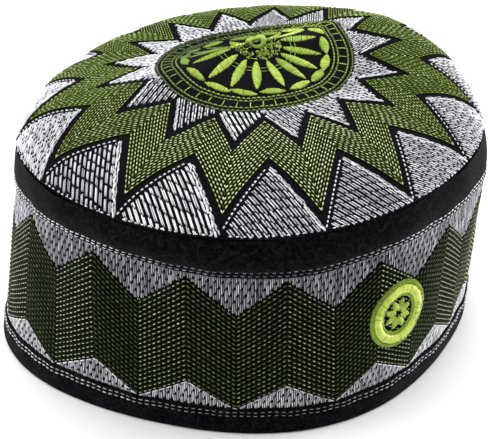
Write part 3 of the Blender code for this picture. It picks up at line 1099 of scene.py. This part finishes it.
def sewRings(pile):
    # dashed rings on a bed of dark thread, and short threads across between two of them
    for share, pitch, length, width, height, shade in medallion["lines"]:
        circle = ringSpot(share, np.linspace(0, 360, 181))
        spots, heading = alongPath(crownFace, circle, pitch, 0.5, 0.03)
        turned = np.degrees(np.arctan2(spots[:, 1], spots[:, 0]))
        addStitches(pile, crownFace, spots, heading, (length, width, height),
                    shade - shadedAt(turned), 0.09, medallion["lift"])
        spots, heading = alongPath(crownFace, circle, medallion["lineBed"][0] * 0.85)
        addStitches(pile, crownFace, spots, heading, medallion["lineBed"], medallion["bedShade"],
                    lift=-medallion["lift"])
    for cell in range(medallion["cells"]):
        degrees = cell * 360 / medallion["cells"]
        inner, outer = (ringSpot(share, degrees) for share in medallion["cellEdges"])
        addStitches(pile, crownFace, (inner + outer) / 2, outer - inner,
                    (np.linalg.norm(outer - inner) * 1.1, *medallion["cellThread"]),
                    medallion["cellShade"] - shadedAt(degrees), 0.08)


def petalAngle(place):
    even = medallion["firstPetal"] + place * 360 / medallion["petals"]
    return even + waveSum(medallion["petalDrift"], math.radians(even))


def sewPetals(satin, links):
    # petals, the leaf that lies across between each two of them, and the threads that join them
    lift = medallion["lift"]
    for place in range(medallion["petals"]):
        degrees = petalAngle(place)
        inner, outer = (ringSpot(share, degrees) for share in medallion["petalEnds"])
        tone = medallion["petalShade"] - 0.8 * shadedAt(degrees) + random.normal(0, 0.06)
        sewSatin(satin, crownFace, inner, outer, medallion["petal"], tone, lift)
        centre = ringSpot(medallion["leafCentre"], petalAngle(place + 0.5) + 1.0)
        tangent = sidewaysOf(unit(centre)) * medallion["leafLength"] / 2
        sewSatin(satin, crownFace, centre - tangent, centre + tangent, medallion["leaf"],
                 tone - 0.03, lift)
        for share in medallion["linkRings"]:
            start, end = (ringSpot(share, degrees + angle) for angle in medallion["linkAngles"])
            addStitches(links, crownFace, (start + end) / 2, end - start, medallion["link"],
                        medallion["linkShade"])


def sewCentre(pile):
    # knotted loops round a raised eyelet
    low, high = medallion["loopsReach"]
    count = medallion["loops"]
    share = np.sqrt(random.uniform(low**2, high**2, count))
    size = rowsOf(random.uniform(*medallion["loopLength"], count), medallion["loopWidth"],
                  random.uniform(*medallion["loopHeight"], count))
    addStitches(pile, crownFace, ringSpot(share, random.uniform(0, 360, count)),
                random.normal(0, 1, (count, 2)), size, random.uniform(*medallion["loopShade"], count))
    inner, outer = medallion["eyelet"]
    ring = np.arange(40) * 9.0
    back = np.sin(np.radians(ring))
    height, shade = (value + more * back for value, more in (medallion["eyeletHeight"],
                                                             medallion["eyeletShade"]))
    middle = ringSpot((inner + outer) / 2, ring)
    size = rowsOf((outer - inner) * medallion["radius"] * 1.15, medallion["eyeletWidth"], height)
    addStitches(pile, crownFace, middle, middle, size, shade, 0.06, 0.0002)


def sewMedallion():
    lines, satin, loops = [], [], []
    sewRings(lines)
    sewPetals(satin, lines)
    sewCentre(loops)
    return [layPile("medallion" + name, pile, finishes["lime"])
            for name, pile in (("Lines", lines), ("Satin", satin), ("Loops", loops))]


medallionPieces = sewMedallion()
print("medallion ready")


# Badge on the wall: a plain ring with a small rosette

badge = {
    "turn": -55.2, "height": 0.0373, "lift": 0.0004,
    # inner and outer radius, shade, height, lean, mottle
    "rings": [(0.0116, 0.0134, 0.36, 0.0010, 0.3, 0.06), (0.0082, 0.0116, 0.94, 0.0019, -0.15, 0.18),
              (0.0070, 0.0082, 0.42, 0.0010, 0.3, 0.06)],
    "petals": 8, "petalEnds": (0.0014, 0.0062), "petalShade": 0.60,
    "petal": {"width": 0.0030, "bend": 0.9, "fullness": 0.8, "lean": 0.3, "height": 0.0010},
}


def sewBadge():
    pile = []
    centre = np.array((sideLength(badge["turn"]), badge["height"]))
    for inner, outer, shade, height, lean, mottle in badge["rings"]:
        radius = (inner + outer) / 2
        count = round(2 * math.pi * radius / medallion["satinPitch"])
        out = circleOf(np.arange(count) * 2 * math.pi / count)
        heading = out * math.cos(lean) + sidewaysOf(out) * math.sin(lean)
        size = rowsOf((outer - inner) * 1.12 * random.uniform(0.90, 1.08, count),
                      medallion["satinWidth"], height * random.uniform(0.8, 1.1, count))
        addStitches(pile, wallFace, centre + out * radius, heading, size, shade, mottle, badge["lift"])
    for petal in range(badge["petals"]):
        out = circleOf((petal + 0.5) * 2 * math.pi / badge["petals"])
        start, end = (centre + out * reach for reach in badge["petalEnds"])
        sewSatin(pile, wallFace, start, end, badge["petal"], badge["petalShade"], badge["lift"])
    return layPile("badgeSatin", pile, finishes["lime"])


badgeSatin = sewBadge()
print("badge ready")


# White top-stitching on the band and the binding. At the front its stitches are shorter and
# thinner, because they are pulled deeper into the cotton there, and painted darker: painted shade.

topStitch = {
    "pitch": 0.0025, "size": (0.0019, 0.00060, 0.00056), "frontSize": (0.0016, 0.00036, 0.00036),
    "sunk": 0.00010,
    # painted shade: the stitches are painted darker at the front
    "bandShade": (0.97, 0.42), "bindingShade": (0.72, 0.42),       # at the sides, at the front
}


def sewTopStitching(name, surface, heights, shades):
    pile = []
    for height in heights:
        path = rowsOf(np.linspace(0, 2 * math.pi * seam["radius"], 361), height)
        spots, heading = alongPath(surface, path, topStitch["pitch"], 0.5, 0.04)
        front = towardsFront(spots[:, 0] / seam["radius"])
        size = rowsOf(*(np.interp(front, (0, 1), ends)
                        for ends in zip(topStitch["size"], topStitch["frontSize"])))
        # painted shade towards the front
        shade = shades[0] + (shades[1] - shades[0]) * front
        addStitches(pile, surface, spots, heading, size, shade, 0.08, -topStitch["sunk"] * front)
    return layPile(name, pile, finishes["white"])


sewTopStitching("bandStitching", bandFace, bandStitchRows, topStitch["bandShade"])
bindingStitching = sewTopStitching("bindingStitching", bindingFace, bindingStitchRows,
                                   topStitch["bindingShade"])
bpy.data.objects.remove(threadShape)
bpy.data.objects.remove(strandShape)
print("top-stitching ready")


# Floor, light and camera

studio = {
    "floorSize": 6.0, "floorColour": (0.93, 0.93, 0.93), "worldStrength": 0.66,
    "target": (0.0, 0.0, 0.06),
    # name, place, size, watts
    "lamps": [("topLamp", (0.0, 0.25, 1.3), 1.0, 15.0), ("leftLamp", (-1.2, 0.05, 0.35), 0.8, 12.0),
              ("rightLamp", (1.2, 0.35, 0.35), 0.8, 16.0)],
}
cameraPlace = {
    "position": (0.0023, -0.4130, 0.2592), "pitch": 61.75, "roll": 0.13, "lens": 83.2, "sensor": 36.0,
}


def makeFloor():
    half = studio["floorSize"] / 2
    corners = [(-half, -half, 0), (half, -half, 0), (half, half, 0), (-half, half, 0)]
    mesh = bpy.data.meshes.new("floor")
    mesh.from_pydata(corners, [], [(0, 1, 2, 3)])
    finish, tree, shader = newFinish("paleFloor", 0.9, 0.2)
    fill(tree, shader, {"Base Color": (*studio["floorColour"], 1.0)})
    mesh.materials.append(finish)
    addObject("floor", mesh)


def makeLight():
    world = bpy.data.worlds.new("studio")
    bpy.context.scene.world = world
    world.use_nodes = True
    fill(world.node_tree, world.node_tree.nodes["Background"],
         {"Color": (1.0, 1.0, 1.0, 1.0), "Strength": studio["worldStrength"]})
    for name, place, size, watts in studio["lamps"]:
        light = bpy.data.lights.new(name, "AREA")
        light.size, light.energy = size, watts
        lamp = addObject(name, light)
        lamp.location = place
        outward = Vector(place) - Vector(studio["target"])
        lamp.rotation_euler = outward.to_track_quat("Z", "Y").to_euler()


def makeCamera():
    data = bpy.data.cameras.new("camera")
    data.lens, data.sensor_width, data.clip_start = cameraPlace["lens"], cameraPlace["sensor"], 0.01
    camera = addObject("camera", data)
    camera.location = cameraPlace["position"]
    camera.rotation_euler = (math.radians(cameraPlace["pitch"]), math.radians(cameraPlace["roll"]), 0.0)
    bpy.context.scene.camera = camera


makeFloor()
makeLight()
makeCamera()
bpy.context.scene.view_settings.view_transform = "Standard"
print("stage ready")
